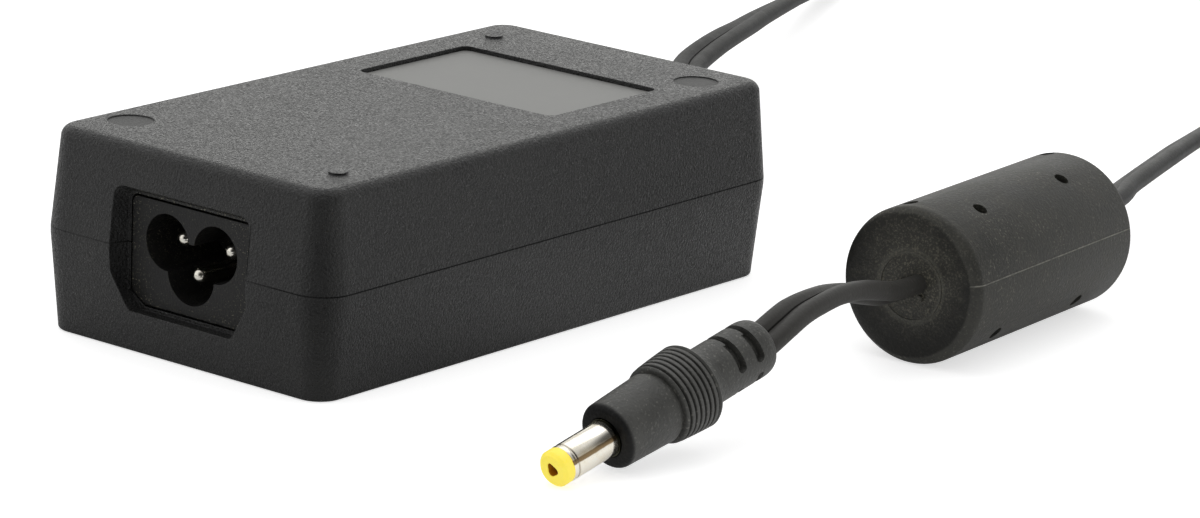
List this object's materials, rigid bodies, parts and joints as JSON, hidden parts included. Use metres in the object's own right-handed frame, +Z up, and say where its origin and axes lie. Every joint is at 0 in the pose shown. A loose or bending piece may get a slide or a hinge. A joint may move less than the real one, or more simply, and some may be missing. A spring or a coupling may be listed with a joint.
{
  "type": "laptop power adapter",
  "caption": "Drafted two-part case with a cloverleaf mains inlet, and a fixed twin output lead with a ferrite sleeve and a round barrel plug.",
  "frame": {"origin": "centre of the case's flat base, on the surface it stands on", "axes": "+Z up, +Y along the case from the mains inlet to the cord's exit, +X to the right seen from the inlet"},
  "size_m": [0.1819, 0.3568, 0.0323],
  "materials": {
    "case_plastic": "fine spark-eroded grain",
    "label_plastic": "smooth satin",
    "inlet_plastic": "smooth satin",
    "contact_nickel": "nickel plated",
    "board_laminate": "solder mask",
    "insulator_film": "translucent film",
    "sink_aluminium": "mill finish",
    "fuse_ceramic": "glazed",
    "film_cap_plastic": "moulded box",
    "soft_ferrite": "sintered ferrite",
    "winding_copper": "enamelled copper wire",
    "epoxy_black": "moulded epoxy",
    "cap_sleeve": "shrink sleeve",
    "bobbin_plastic": "moulded phenolic",
    "winding_tape": "polyester tape",
    "disc_ceramic": "dipped epoxy",
    "wire_insulation": "soft PVC",
    "grommet_rubber": "moulded soft PVC",
    "cord_jacket": "satin soft PVC",
    "tie_fabric": "hook and loop strap",
    "sleeve_rubber": "dull moulded soft PVC",
    "plug_rubber": "satin moulded soft PVC",
    "barrel_nickel": "bright nickel plate",
    "tip_plastic": "yellow insulating tip",
    "contact_bronze": "phosphor bronze"
  },
  "bodies": {
    "root": {"top_shell": "case_plastic", "bottom_shell": "case_plastic", "label_plate": "label_plastic", "inlet_housing": "inlet_plastic", "line_pin": "contact_nickel", "neutral_pin": "contact_nickel", "earth_pin": "contact_nickel", "circuit_board": "board_laminate", "insulator_sheet": "insulator_film", "heat_spreader": "sink_aluminium", "fuse": "fuse_ceramic", "x_capacitor": "film_cap_plastic", "choke_core": "soft_ferrite", "choke_winding": "winding_copper", "bridge_rectifier": "epoxy_black", "bulk_capacitor": "cap_sleeve", "primary_heatsink": "sink_aluminium", "switching_transistor": "epoxy_black", "transformer_core": "soft_ferrite", "transformer_bobbin": "bobbin_plastic", "transformer_winding": "winding_tape", "secondary_heatsink": "sink_aluminium", "output_rectifier": "epoxy_black", "output_capacitors": "cap_sleeve", "output_choke": "soft_ferrite", "y_capacitor": "disc_ceramic", "optocoupler": "epoxy_black", "controller_ic": "epoxy_black", "output_wires": "wire_insulation", "cord_grommet": "grommet_rubber", "cord_boot": "grommet_rubber", "cord_brick_run": "cord_jacket", "cord_coil": "cord_jacket", "coil_tie": "tie_fabric", "cord_ferrite_run": "cord_jacket", "ferrite_sleeve": "sleeve_rubber", "ferrite_core": "soft_ferrite", "cord_core_run": "cord_jacket", "cord_plug_run": "cord_jacket", "plug_body": "plug_rubber", "plug_barrel": "barrel_nickel", "plug_tip": "tip_plastic", "plug_contact": "contact_bronze"}
  },
  "joints": []
}
